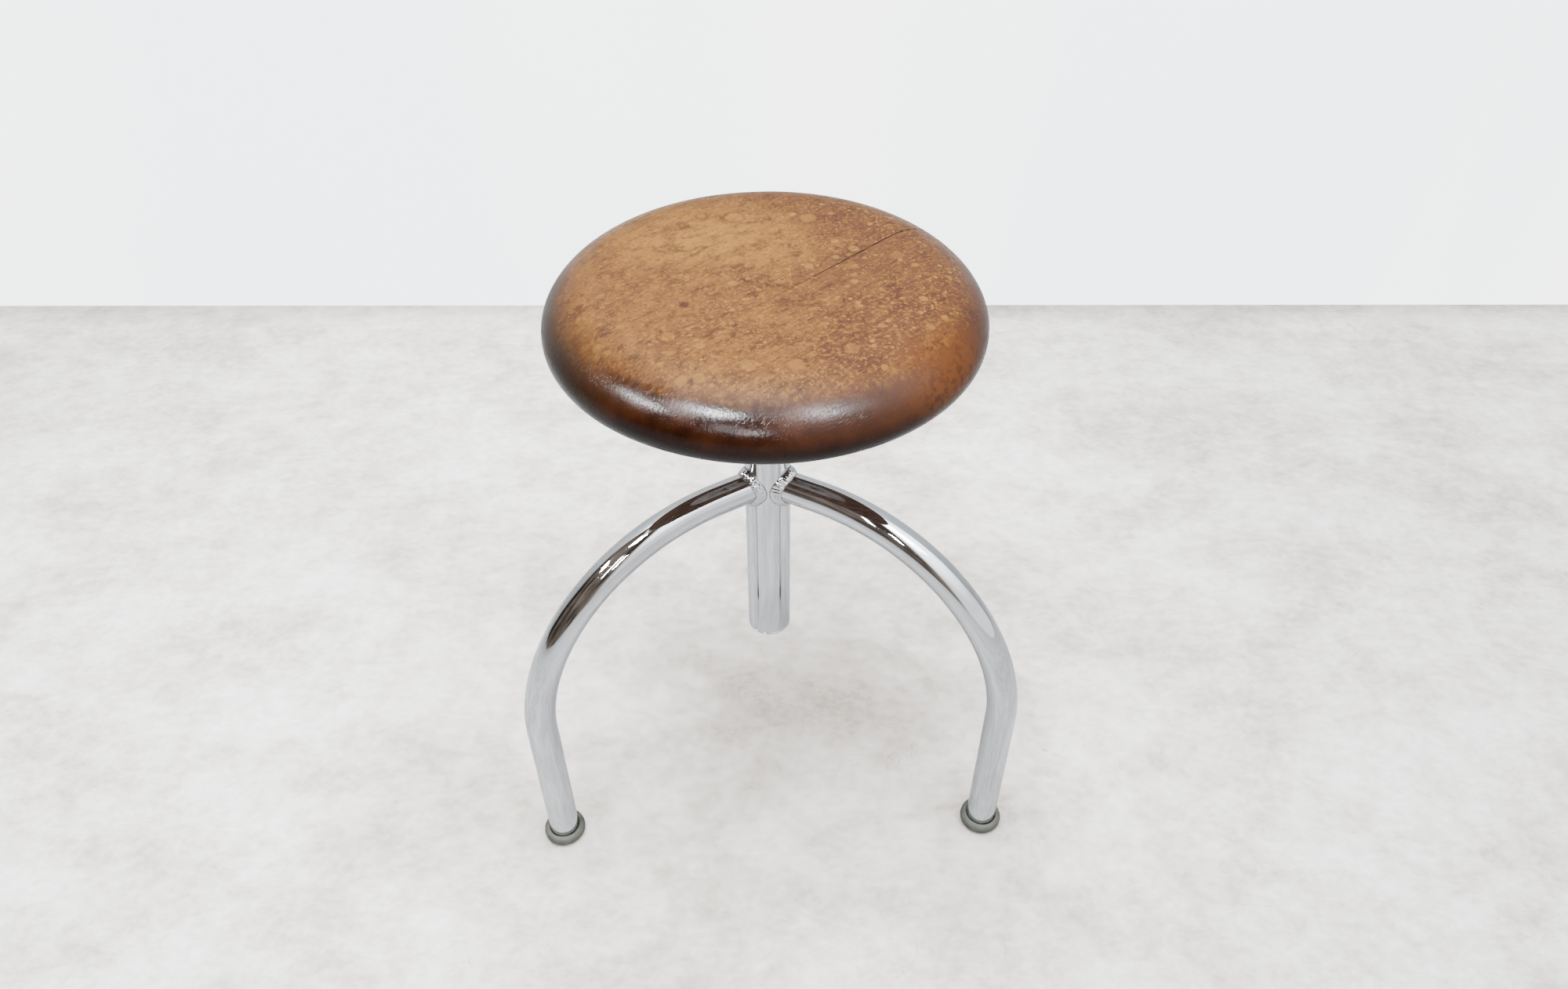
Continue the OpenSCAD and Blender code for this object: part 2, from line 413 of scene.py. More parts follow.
def rubber_material():
    """Aged grey-green rubber: chalky bloom on top, darker towards the floor."""
    n = Nodes("foot_rubber_aged")
    p = n.place
    height = n.split(p)[2]
    cloud = n.noise(p, 110, 5, 0.6)
    speck = n.ramp(n.noise(p, 900, 3, 0.6), 0.62, 0.72)
    stain = n.ramp(n.noise(p, 190, 4, 0.6), 0.55, 0.7)
    base = n.mix(n.ramp(cloud, 0.3, 0.7), srgb(47, 48, 38), srgb(68, 69, 57))
    base = n.mix(n.times(stain, 0.5), base, srgb(46, 44, 36))
    # darker over the lowest few millimetres, towards the floor
    base = n.mix(n.ramp(height, 3.5 * MM, 0.3 * MM, 0.0, 0.7), base, srgb(30, 30, 25))
    base = n.mix(n.times(speck, 0.35), base, srgb(86, 88, 80))
    rough = n.ramp(cloud, 0.3, 0.7, 0.62, 0.85)
    normal = n.bump(cloud, 0.35 * MM, 0.5)
    normal = n.bump(n.noise(p, 1400, 2, 0.5), 0.05 * MM, 0.6, normal)
    return n.set(Base_Color=base, Roughness=rough, Normal=normal)


def bronze_material():
    """Turned bronze with brown tarnish."""
    n = Nodes("bush_bronze_turned")
    p = n.place
    rings = n.noise(n.stretch(p, (1, 1, 20)), 200, 2, 0.5)
    tarnish = n.noise(p, 120, 5, 0.6)
    base = n.mix(n.ramp(tarnish, 0.35, 0.65), srgb(176, 132, 84), srgb(112, 82, 54))
    rough = n.ramp(tarnish, 0.3, 0.7, 0.22, 0.5)
    return n.set(Base_Color=base, Metallic=1.0, Roughness=rough, Normal=n.bump(rings, 0.05 * MM, 0.5))


# round water marks on the seat, in mm from its centre: x, y, radius, and how pale
WATER_MARKS = (
    (-21, 80, 7.5, 0.55), (33, 77, 7.5, 0.45), (-63, -76, 6, 0.5), (-12, -107, 6.5, 0.5),
    (17, -108, 6.5, 0.45), (93, 21, 6, 0.3), (52, -92, 6, 0.35), (-8, 44, 5, 0.35), (60, 8, 5.5, 0.35),
)
# dark knots and burns: x, y, radius, and how dark
DARK_MARKS = (
    (-54, -38, 5.5, 0.8), (-83, -94, 6, 0.6), (133, -37, 3, 0.8), (43, -16, 5, 0.35), (112, 22, 7, 0.3),
    (-20, -60, 6, 0.25), (38, 30, 9, 0.25), (85, -22, 9, 0.3), (70, 62, 9, 0.2),
)
# broad reddish stains right of the middle, in mm: x, y, radius, and how strong
STAINS = (
    (48, -4, 36, 0.50), (92, 30, 46, 0.50), (50, 76, 36, 0.35), (24, -34, 26, 0.25), (110, -20, 32, 0.20),
)


# how much light each of the seat's finishes sends back, as linear red, green, blue and alpha
TAN = (0.112, 0.044, 0.0085, 1)
PALE = (0.205, 0.092, 0.0135, 1)
RED = (0.056, 0.0180, 0.0062, 1)
DEEP = (0.026, 0.0074, 0.0036, 1)
FADED = (0.060, 0.0195, 0.0062, 1)
KNOT = (0.012, 0.0025, 0.0020, 1)
CRACK = (0.004, 0.002, 0.001, 1)
VARNISH = (0.0105, 0.0024, 0.0009, 1)
VARNISH_WARM = (0.0370, 0.0095, 0.0020, 1)
VARNISH_LOW = (0.0040, 0.0014, 0.0010, 1)
SCUFF = (0.040, 0.014, 0.005, 1)
OLIVE = (0.0135, 0.0075, 0.0036, 1)
BROWN = (0.0480, 0.0155, 0.0052, 1)
AMBER = (0.086, 0.0280, 0.0060, 1)
UNDERSIDE = (0.110, 0.064, 0.046, 1)


def broad_tones(n, flat_place, along):
    """Tan wood, redder towards the right and in bands, with a pale place left of the middle."""
    x, y, _ = n.split(flat_place)
    broad = n.noise(n.stretch(along, (0.5, 1.0, 1.0)), 15, 4, 0.6)
    bands = n.noise(n.stretch(along, (0.2, 1.0, 0.8)), 46, 5, 0.6, 0.4)
    clouds = n.noise(n.stretch(along, (0.7, 1.0, 1.0)), 62, 5, 0.65, 0.3)
    to_right = n.vector("DOT_PRODUCT", flat_place, (2.6, 0.9, 0.0))
    redness = n.plus(n.times(broad, 1.5), to_right)
    glow = n.vector("DISTANCE", n.join(n.times(x, 0.7), y, 0.0), (-0.022, 0.048, 0.0))
    colour = n.mix(n.ramp(redness, 0.5, 1.1), TAN, RED)
    colour = n.mix(n.ramp(glow, 0.070, 0.012, 0.0, 0.80), colour, PALE)
    colour = n.mix(n.ramp(bands, 0.52, 0.70, 0.0, 0.40), colour, RED)
    return n.mix(n.ramp(clouds, 0.48, 0.66, 0.0, 0.70), colour, DEEP)


def mottles(n, colour, flat_place, along, mottle, busy):
    """Pale and dark mottles from a centimetre down to a millimetre."""
    shade = n.noise(n.stretch(along, (0.8, 1.0, 1.0)), 105, 6, 0.66, 0.1)
    flecks = n.noise(flat_place, 330, 5, 0.62)
    specks = n.noise(n.stretch(along, (0.6, 1.0, 1.0)), 620, 3, 0.6)
    colour = n.mix(n.times(n.ramp(mottle, 0.50, 0.66, 0.0, 0.45), busy), colour, PALE)
    colour = n.mix(n.times(n.ramp(shade, 0.51, 0.66, 0.0, 0.75), busy), colour, DEEP)
    colour = n.mix(n.times(n.ramp(flecks, 0.52, 0.62, 0.0, 0.6), busy), colour, PALE)
    return n.mix(n.ramp(specks, 0.54, 0.66, 0.0, 0.55), colour, DEEP)


def broad_stains(n, colour, flat_place):
    """The reddish stains, each with a wandering edge."""
    spread = n.times(n.minus(n.noise(flat_place, 36, 5, 0.6), 0.5), 48 * MM)
    for sx, sy, size, strength in STAINS:
        away = n.plus(n.vector("DISTANCE", flat_place, (sx * MM, sy * MM, 0)), spread)
        colour = n.mix(n.ramp(away, size * MM, 0.45 * size * MM, 0.0, strength), colour, RED)
    return colour


def dried_drops(n, colour, flat_place, busy):
    """Small round pale drops of three sizes."""
    for scale, strength in ((95, 0.65), (180, 0.75), (340, 0.75)):
        drops = n.cells(flat_place, scale)
        chance = n.split(drops.outputs["Color"])
        reach = n.times(chance[0], 0.42)
        drop = n.ramp(drops.outputs["Distance"], reach, n.times(reach, 0.75))
        drop = n.times(drop, n.ramp(chance[1], 0.35, 0.7))
        colour = n.mix(n.times(n.times(drop, strength), busy), colour, PALE)
    return colour


def bare_wood(n, flat_place, along, mottle):
    """Bare wood: stained, water-marked and flecked, most of all at the front and on the right."""
    busy = n.ramp(n.vector("DOT_PRODUCT", flat_place, (1.0, -0.75, 0.0)), -0.09, 0.05, 0.65, 1.0)
    colour = broad_tones(n, flat_place, along)
    colour = mottles(n, colour, flat_place, along, mottle, busy)
    colour = broad_stains(n, colour, flat_place)
    return dried_drops(n, colour, flat_place, busy)


def marks(n, colour, flat_place):
    """The single round marks, each with a ragged edge."""
    ragged = n.times(n.minus(n.noise(flat_place, 280, 4, 0.65), 0.5), 8 * MM)
    for mx, my, size, strength in WATER_MARKS:
        away = n.plus(n.vector("DISTANCE", flat_place, (mx * MM, my * MM, 0)), ragged)
        outside = n.ramp(away, (size + 2) * MM, size * MM)
        inside = n.ramp(away, (size - 2) * MM, size * MM)
        edge = n.times(outside, inside)
        colour = n.mix(n.times(edge, strength * 0.6), colour, DEEP)
        colour = n.mix(n.ramp(away, size * MM, (size - 2.5) * MM, 0.0, strength * 0.8), colour, PALE)
    for mx, my, size, strength in DARK_MARKS:
        away = n.plus(n.vector("DISTANCE", flat_place, (mx * MM, my * MM, 0)), ragged)
        colour = n.mix(n.ramp(away, size * MM, 0.3 * size * MM, 0.0, strength), colour, KNOT)
    return colour


def varnished_rim(n, x, y, z, r, smoky):
    """Dark glossy varnish with upright scuffs, warmer where it is thin."""
    angle = n.math("ARCTAN2", y, x)
    round_rim = n.join(n.times(angle, SEAT_R), n.times(z, 0.16), r)
    upright = n.noise(round_rim, 520, 4, 0.6)
    colour = n.mix(n.ramp(smoky, 0.34, 0.72), VARNISH, VARNISH_WARM)
    colour = n.mix(n.ramp(upright, 0.56, 0.78, 0.0, 0.35), colour, SCUFF)
    # greener where the varnish is thin on the left, browner on the right
    colour = n.mix(n.ramp(x, -0.07, -0.13, 0.0, 0.75), colour, OLIVE)
    colour = n.mix(n.ramp(x, 0.015, 0.075, 0.0, 0.55), colour, BROWN)
    low = n.ramp(z, SEAT_TOP - 26 * MM, SEAT_TOP - 38 * MM, 0.0, 0.85)
    return n.mix(low, colour, VARNISH_LOW), upright


def grain_lines(n, colour, streaks, pores):
    """The wood's own figure: dark streaks and pores, and paler lines between them."""
    colour = n.mix(n.ramp(streaks, 0.52, 0.70, 0.0, 0.34), colour, DEEP)
    colour = n.mix(n.ramp(pores, 0.54, 0.68, 0.0, 0.32), colour, DEEP)
    return n.mix(n.ramp(pores, 0.46, 0.32, 0.0, 0.35), colour, PALE)


def wear_distance(n, y, r):
    """Distance from the axis with a ragged, wandering error, and less of it at the back."""
    wander = n.times(n.minus(n.noise(n.place, 26, 3, 0.5), 0.5), 9 * MM)
    ragged = n.times(n.minus(n.noise(n.place, 170, 4, 0.6), 0.5), 9 * MM)
    worn_back = n.ramp(y, -0.02, 0.10, 0.0, 9 * MM)
    return n.minus(n.plus(r, n.plus(wander, ragged)), worn_back)


def varnish_film(n, x, z, edge, slow, speckle):
    """How much varnish is left: none in the middle, patchy on the right, all of it low on the rim."""
    film = n.mix(slow, n.ramp(edge, 132 * MM, 143 * MM), n.ramp(edge, 128 * MM, 153 * MM))
    high = n.ramp(z, SEAT_TOP - 22 * MM, SEAT_TOP - 8 * MM)
    worn_right = n.times(n.ramp(x, 0.050, 0.115), n.ramp(speckle, 0.48, 0.62, 0.12, 0.60))
    worn_right = n.times(worn_right, high)
    film = n.times(film, n.minus(1.0, worn_right))
    return n.math("MAXIMUM", film, n.ramp(z, SEAT_TOP - 18 * MM, SEAT_TOP - 34 * MM))


def open_joint(n):
    """The dark line of the glue joint, faint at the left and strong where it has opened."""
    beside = n.minus(n.vector("DOT_PRODUCT", n.place, ACROSS), GLUE_LINE)
    opened = n.ramp(n.vector("DOT_PRODUCT", n.place, WITH_GRAIN), -50 * MM, 50 * MM, 0.15, 0.95)
    return n.times(n.ramp(n.math("ABSOLUTE", beside), 0.62 * MM, 0.30 * MM), opened)


def wood_relief(n, streaks, pores, mottle, upright):
    """Raised grain, stains that have lifted it, gentle waves, scuffs and fine rubbing marks."""
    p = n.place
    grain = n.plus(n.times(streaks, 0.5), n.times(pores, 0.5))
    normal = n.bump(grain, 0.12 * MM, 0.25)
    normal = n.bump(mottle, 0.15 * MM, 0.25, normal)
    normal = n.bump(n.noise(p, 95, 4, 0.55), 0.4 * MM, 0.25, normal)
    normal = n.bump(upright, 0.20 * MM, 0.55, normal)
    rubbed = n.turn(p, 0.9, (1.0, 0.12, 0.4))
    return n.bump(n.ramp(n.noise(rubbed, 1500, 2, 0.5), 0.56, 0.70), 0.08 * MM, 0.6, normal)


def wood_material():
    """Turned seat: bare and water-marked on top, dark glossy varnish round the rim."""
    n = Nodes("seat_wood_worn")
    p = n.place
    x, y, z = n.split(p)
    flat_place = n.join(x, y, 0.0)
    r = n.vector("LENGTH", flat_place)
    # each board has its own grain
    own = n.vector("ADD", p, n.join(0.0, 0.0, n.times(n.attribute("board"), 0.37)))
    along = n.turn(own, -GRAIN)
    mottle = n.noise(flat_place, 190, 6, 0.62, 0.1)
    speckle = n.noise(p, 210, 5, 0.6)
    smoky = n.noise(p, 34, 4, 0.5)
    streaks = n.noise(n.stretch(along, (0.05, 1.0, 0.6)), 330, 5, 0.6)
    pores = n.noise(n.stretch(along, (0.07, 1.0, 0.5)), 1150, 3, 0.55)
    edge = wear_distance(n, y, r)
    # on the left the varnish thins out slowly; elsewhere it stops within about a centimetre
    slow = n.ramp(x, -0.07, -0.12)

    bare = marks(n, bare_wood(n, flat_place, along, mottle), flat_place)
    bare = grain_lines(n, bare, streaks, pores)
    thinning = n.mix(slow, n.ramp(edge, 126 * MM, 138 * MM), n.ramp(edge, 120 * MM, 144 * MM))
    bare = n.mix(n.times(thinning, 0.4), bare, FADED)

    varnish, upright = varnished_rim(n, x, y, z, r, smoky)
    underside = n.ramp(z, SEAT_BOTTOM + 3 * MM, SEAT_BOTTOM)
    stained = n.mix(n.ramp(streaks, 0.4, 0.7), UNDERSIDE, SCUFF)
    varnish = n.mix(n.times(underside, 0.9), varnish, stained)

    colour = n.mix(varnish_film(n, x, z, edge, slow, speckle), bare, varnish)
    colour = n.mix(open_joint(n), colour, CRACK)
    # the varnish is thin and warm at one place on the right of the front
    amber_zone = n.ramp(n.vector("DISTANCE", p, (0.112, -0.092, 0.488)), 0.052, 0.016)
    amber_patch = n.times(amber_zone, n.ramp(speckle, 0.60, 0.46, 0.15, 0.65))
    colour = n.mix(amber_patch, colour, AMBER)

    sheen = n.ramp(r, 112 * MM, 140 * MM)
    rough = n.mix(sheen, n.ramp(mottle, 0.3, 0.7, 0.50, 0.66), n.ramp(smoky, 0.3, 0.7, 0.15, 0.26))
    normal = wood_relief(n, streaks, pores, mottle, upright)
    return n.set(Base_Color=colour, Roughness=rough, Normal=normal, IOR=1.25)


# ---------------------------------------------------------------- stool pieces

def seat_outline():
    """The seat's section from the middle of its top, over the rim, to the middle of its underside."""
    under_up = SEAT_TOP - SEAT_BOTTOM - ROUND_DOWN
    under_r = SEAT_R - UNDER_IN
    flat_r = SEAT_R - ROUND_IN
    top = [(flat_r * i / 34, SEAT_TOP) for i in range(34)]
    upper = arc((flat_r, SEAT_TOP - ROUND_DOWN), (ROUND_IN, ROUND_DOWN), 90, 0, 36)
    lower = arc((under_r, SEAT_BOTTOM + under_up), (UNDER_IN, under_up), 0, -90, 10)[1:]
    under = [(under_r * (1 - i / 14), SEAT_BOTTOM) for i in range(1, 15)]
    return top + upper + lower + under


def saw_board(bm, across, keep):
    """Cuts the whole seat down to the board on one side of the glue line, and closes the cut."""
    # two extra rows of points beside the joint, so that its edge can be softened
    for beside in (2.4 * MM, 1.0 * MM):
        plane = across * (GLUE_LINE + keep * beside)
        everything = bm.verts[:] + bm.edges[:] + bm.faces[:]
        bmesh.ops.bisect_plane(bm, geom=everything, plane_co=plane, plane_no=across)
    everything = bm.verts[:] + bm.edges[:] + bm.faces[:]
    cut = bmesh.ops.bisect_plane(
        bm, geom=everything, plane_co=across * GLUE_LINE, plane_no=across * -keep, clear_outer=True)
    edges = [e for e in cut["geom_cut"] if isinstance(e, bmesh.types.BMEdge)]
    fill = bmesh.ops.contextual_create(bm, geom=edges)
    bmesh.ops.triangulate(bm, faces=fill["faces"])
    bmesh.ops.dissolve_degenerate(bm, dist=0.001 * MM, edges=bm.edges)


def age_point(at, across, keep):
    """Moves one point of a board: the joint opens towards the rim and its edge drops, the top warps."""
    near = abs(at.dot(across) - GLUE_LINE)
    opened = smoothstep(-45 * MM, 115 * MM, at.dot(Vector(WITH_GRAIN)))
    if near < 0.05 * MM:
        wander = 0.08 * MM * wobble(at, 9 * MM, 3.1) * opened
        # the gap closes with depth, so no light comes through it
        shallow = smoothstep(SEAT_BOTTOM + 4 * MM, SEAT_TOP - 8 * MM, at.z)
        at += across * (keep * (0.02 * MM + 0.26 * MM * opened * shallow) + wander)
        if at.z > SEAT_BOTTOM + 8 * MM:
            at.z -= 0.30 * MM * opened
    elif near < 1.1 * MM and at.z > SEAT_BOTTOM + 8 * MM:
        at.z -= 0.05 * MM * opened
    warp = 0.35 * MM * wobble(at, 90 * MM, 7.7) + 0.10 * MM * wobble(at, 22 * MM, 1.3)
    if at.z > SEAT_BOTTOM + 1 * MM:
        at.z += warp - 0.2 * MM


def seat_boards(material):
    """The two boards of the seat. The glue line between them has opened from the rim inwards."""
    verts, faces = lathe(list(reversed(seat_outline())), segments=480)
    across = Vector(ACROSS)
    for node, keep in (("seat_board_wide", -1), ("seat_board_narrow", 1)):
        bm = bmesh.new()
        made = [bm.verts.new(v) for v in verts]
        for f in faces:
            bm.faces.new([made[i] for i in f])
        saw_board(bm, across, keep)
        for v in bm.verts:
            age_point(v.co, across, keep)
        mesh = bpy.data.meshes.new(node + "_worn")
        bm.to_mesh(mesh)
        bm.free()
        board = mesh.attributes.new("board", "FLOAT", "POINT")
        board.data.foreach_set("value", [0.0 if keep < 0 else 1.0] * len(mesh.vertices))
        smooth_object(mesh, "seat", node, material, sharp=50)


def saddle(side):
    """How far out from the axis the column's surface is, at this distance to the side."""
    return math.sqrt(COLUMN_R ** 2 - side ** 2)


def leg_piece(place, material):
    """One bent tube, coped to the column, slightly flattened where it bends."""
    segments = 72
    straight, bend, upright = 8, 72, 36
    verts = []

    def add_ring(centre, across_up, squash):
        """A ring round the tube. across_up points to the outer side of the bend."""
        for s in range(segments):
            a = 2 * math.pi * s / segments
            side, up = LEG_R * math.sin(a), LEG_R * math.cos(a)
            at = centre + across_up * (up * (1 - squash)) + Vector((0, side * (1 + squash * 0.6), 0))
            away = (at - centre).normalized()
            verts.append(at + away * (0.05 * MM * wobble(at, 38 * MM, LEG_TURNS[place])))

    for i in range(straight):
        share = i / straight
        for s in range(segments):
            a = 2 * math.pi * s / segments
            side, up = LEG_R * math.sin(a), LEG_R * math.cos(a)
            start = saddle(side) - 0.3 * MM
            verts.append(Vector((start + (BEND_START - start) * share, side, LEG_HEIGHT + up)))
    for i in range(bend + 1):
        a = math.pi / 2 * (1 - i / bend)
        out = Vector((math.cos(a), 0, math.sin(a)))
        flat = 0.018 * math.sin(math.pi * i / bend) ** 0.5
        add_ring(Vector((BEND_START, 0, BEND_LOW)) + out * BEND_R, out, flat)
    for i in range(1, upright + 1):
        z = BEND_LOW + (LEG_END - BEND_LOW) * i / upright
        add_ring(Vector((LEG_REACH, 0, z)), Vector((1, 0, 0)), 0)
    rows = straight + bend + 1 + upright
    faces = grid_faces(rows, segments)
    faces = [tuple(reversed(f)) for f in faces]
    faces.append(tuple(range(segments)))
    faces.append(tuple(reversed(range((rows - 1) * segments, rows * segments))))
    turned_verts = turned(verts, LEG_TURNS[place])
    piece("leg_tube_" + place, turned_verts, faces, "frame", "leg_" + place, material)


WELD_ON_LEG = 6.2 * MM
WELD_ON_COLUMN = 4.7 * MM


def weld_piece(place, material):
    """A hand-laid bead round the joint of leg and column, with ripples and lumps."""
    steps, points = 180, 12
    verts, toes = [], []
    seed = LEG_TURNS[place]
    for s in range(steps):
        a = 2 * math.pi * s / steps
        ring = Vector((math.cos(a), math.sin(a), 0))
        uneven = 1 + 0.10 * wobble(ring * 3, 1, seed) + 0.07 * wobble(ring * 9, 1, seed + 4)
        side, up = LEG_R * math.sin(a), LEG_R * math.cos(a)
        out = saddle(side)
        on_leg = WELD_ON_LEG * uneven
        on_column = min(WELD_ON_COLUMN * (2 - uneven), WELD_ON_COLUMN * 1.02)
        turn = math.asin(side / COLUMN_R) + on_column * math.sin(a) / COLUMN_R
        leg_toe = Vector((out + on_leg, side * 0.985, up * 0.985))
        column_toe = Vector(((COLUMN_R - 0.2 * MM) * math.cos(turn), (COLUMN_R - 0.2 * MM) * math.sin(turn),
                             up + on_column * math.cos(a)))
        root = Vector((out - 0.8 * MM, side * 0.93, up * 0.93))
        control = (leg_toe + column_toe) / 2 + ((leg_toe + column_toe) / 2 - root).normalized() * 1.5 * MM
        ripple = 0.28 * MM * math.sin(s * 2 * math.pi / steps * 34 + 2 * wobble(ring * 5, 1, seed))
        for p in range(points):
            t = p / (points - 1)
            at = (1 - t) ** 2 * leg_toe + 2 * t * (1 - t) * control + t * t * column_toe
            crown = math.sin(math.pi * t)
            away = (control - root).normalized()
            lump = 0.45 * MM * wobble(at, 3.2 * MM, seed) + ripple
            verts.append(at + away * (lump * crown))
            toes.append(1 - smoothstep(0.0, 0.75, crown))
        verts.append(root)
        toes.append(1.0)
    across = points + 1
    last = (steps - 1) * across
    faces = grid_faces(steps, across)
    faces += [(last + p, last + (p + 1) % across, (p + 1) % across, p) for p in range(across)]
    faces = [tuple(reversed(f)) for f in faces]
    high = [Vector((v.x, v.y, v.z + LEG_HEIGHT)) for v in verts]
    obj = piece("weld_bead_" + place, turned(high, LEG_TURNS[place]), faces, "frame",
                "weld_" + place, material, sharp=60)
    toe = obj.data.attributes.new("toe", "FLOAT", "POINT")
    toe.data.foreach_set("value", toes)


def foot_piece(place, material):
    """Rubber foot: a soft disc with a lip round the tube and a stem up inside it."""
    height = 10.5 * MM
    sole_in = 4.5 * MM
    lip = 1.0 * MM
    stem_top = FOOT_BOX[1].z
    recess_r = LEG_R + 0.2 * MM
    stem_r = LEG_R - 1.5 * MM
    lip_in = recess_r + lip
    hollow = 0.25 * MM
    outline = [(0, hollow), (FOOT_R - sole_in - 3 * MM, hollow), (FOOT_R - sole_in - 2 * MM, 0)]
    outline += arc((FOOT_R - sole_in, height / 2), (sole_in, height / 2), -90, 62, 22)
    outline += arc((lip_in + 0.4 * MM, height - lip), (lip, lip), 70, 180, 9)
    lip_foot = (recess_r + 0.1 * MM, LEG_END + 0.4 * MM)
    shoulder = [lip_foot, (recess_r - 0.3 * MM, LEG_END), (stem_r, LEG_END)]
    outline += rounded(shoulder, 0.3 * MM)
    outline += [(stem_r, stem_top - 2 * MM), (stem_r - 2 * MM, stem_top), (0, stem_top)]
    turn = LEG_TURNS[place]
    centre = (LEG_REACH * math.cos(turn), LEG_REACH * math.sin(turn))
    verts, faces = lathe(outline, segments=128, centre=centre)
    worn = []
    for v in verts:
        v = Vector(v)
        out = Vector((v.x - centre[0], v.y - centre[1], 0))
        if out.length > LEG_R + 0.5 * MM:
            share = smoothstep(0, 2 * MM, v.z)
            push = 0.16 * MM * wobble(v, 7 * MM, turn) + 0.08 * MM * wobble(v, 2.5 * MM, turn + 1)
            v += out.normalized() * (push * share - 0.12 * MM)
            v.z += 0.15 * MM * wobble(v, 6 * MM, turn + 2) * share
        worn.append(v)
    piece("rubber_foot_" + place, worn, faces, "frame", "foot_" + place, material, sharp=60)


def column_tube_piece(material):
    """The centre tube, with softened edges at both ends."""
    edge = 1 * MM
    corners = [
        (COLUMN_INNER, COLUMN_LOW), (COLUMN_R, COLUMN_LOW),
        (COLUMN_R, COLUMN_TOP), (COLUMN_INNER, COLUMN_TOP),
    ]
    wall = rounded(corners, 0.35 * MM)
    low, high = COLUMN_LOW + edge, COLUMN_TOP - edge
    steps = 60
    outer = [(COLUMN_R, low + (high - low) * i / steps) for i in range(steps + 1)]
    outline = [p for p in wall if p[1] < low] + outer + [p for p in wall if p[1] > high]
    verts, faces = lathe(outline, segments=144, closed=True)
    piece("column_tube_plated", verts, faces, "frame", "column_tube", material)


def column_cap_piece(material):
    """The plug that closes the centre tube's lower end."""
    soft = 2 * MM
    cap_low, cap_high = (corner.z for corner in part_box("column_end_cap"))
    corners = [
        (COLUMN_R, cap_low + 2.2 * MM), (COLUMN_R, COLUMN_LOW), (COLUMN_INNER, COLUMN_LOW),
        (COLUMN_INNER, cap_high), (0, cap_high),
    ]
    outline = [(0, cap_low)] + arc((COLUMN_R - soft, cap_low + soft), (soft, soft), -90, 0, 10)
    outline += rounded(corners, 0.25 * MM)
    verts, faces = lathe(outline, segments=144)
    piece("column_cap_plated", verts, faces, "frame", "column_end_cap", material)


def nut_piece(material):
    """The nut in the top of the column, with its collar and a bevelled bore."""
    bore = SPINDLE_BOX[1].x + 0.05 * MM
    collar_r = NUT_BOX[1].x
    low, high = NUT_BOX[0].z, NUT_BOX[1].z
    bevel_low, bevel_high = 0.8 * MM, 1.2 * MM
    corners = [
        (bore + bevel_low, low), (COLUMN_INNER, low), (COLUMN_INNER, COLUMN_TOP), (collar_r, COLUMN_TOP),
        (collar_r, high), (bore + bevel_high, high), (bore, high - bevel_high), (bore, low + bevel_low),
    ]
    verts, faces = lathe(rounded(corners, 0.9 * MM), segments=120, closed=True)
    piece("thread_nut_turned", verts, faces, "frame", "thread_nut", material)


def spindle_piece(material):
    """The screw: a trapezoidal right-hand thread cut on a bar, with its turned lower end."""
    pitch = 5 * MM
    crest = SPINDLE_BOX[1].x
    depth = 2.2 * MM
    root = crest - depth
    journal_r, stub_r = 7 * MM, 6 * MM
    stub_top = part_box("spindle_end_nut")[1].z
    low, high = BUSH_BOX[1].z + 0.25 * MM, SPINDLE_BOX[1].z
    segments = 60
    # the thread's section over one pitch: root, flank, crest, flank
    section = ((0.0, 0.0), (0.30, 0.0), (0.42, 1.0), (0.88, 1.0))
    turns = int((high - low) / pitch) - 1
    verts = []
    for s in range(segments):
        a = 2 * math.pi * s / segments
        column = [
            (stub_r, SPINDLE_BOX[0].z), (stub_r, stub_top), (journal_r, stub_top),
            (journal_r, low - 0.02 * MM), (root, low),
        ]
        for k in range(turns):
            for share, tall in section:
                z = low + pitch * (k + share + s / segments)
                fade = smoothstep(0, 1, k + share + s / segments)
                column.append((root + depth * tall * fade, z))
        column += [(root, high - pitch * 0.04), (root, high)]
        for r, z in column:
            verts.append((r * math.cos(a), r * math.sin(a), min(z, high)))
    rows = len(verts) // segments
    shift = len(section)
    # the thread starts above the five points of the stub and journal
    start = 5
    end = start + turns * shift
    bottom = tuple(s * rows for s in reversed(range(segments)))
    top = tuple(s * rows + rows - 1 for s in range(segments))
    faces = [bottom, top]
    for s in range(segments - 1):
        here, there = s * rows, (s + 1) * rows
        faces += [(here + i, there + i, there + i + 1, here + i + 1) for i in range(rows - 1)]
    # the last column joins the first one a whole turn higher, so the thread runs on
    seam = (segments - 1) * rows
    faces += [(seam + i, i, i + 1, seam + i + 1) for i in range(rows - 1) if not start <= i < end]
    faces += [(seam + i, i + shift, i + shift + 1, seam + i + 1) for i in range(start, end - shift - 1)]
    faces.append((seam + start, *range(start, start + shift + 1)))
    run_out = [seam + i for i in range(end, end - shift - 1, -1)]
    faces.append((seam + end - shift - 1, end - 1, end, *run_out))
    piece("spindle_thread", verts, faces, "seat", "spindle", material, sharp=30)


def finish_small_pieces(iron, bronze, fixings):
    """Small inner pieces keep their CAD shape and get a real finish."""
    finishes = {
        "nut_screws": fixings, "guide_bush": bronze, "guide_washer": fixings, "spindle_end_nut": fixings,
        "spindle_split_pin": fixings, "seat_hub": iron, "hub_pin": fixings, "hub_weld": iron,
        "seat_plate": iron, "seat_screws": fixings,
    }
    for node, material in finishes.items():
        dress(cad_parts[node], material)


# ---------------------------------------------------------------- floor, wall, light, camera

# the photograph's viewpoint, fitted to the stool's outlines; the turns are in degrees
VIEW_FROM = (-8.8 * MM, -671.3 * MM, 899.2 * MM)
LOOKING_DOWN, HEADING = 41.5, -1.85
VIEW_LENS, VIEW_SHIFT = 25.82, -0.0015
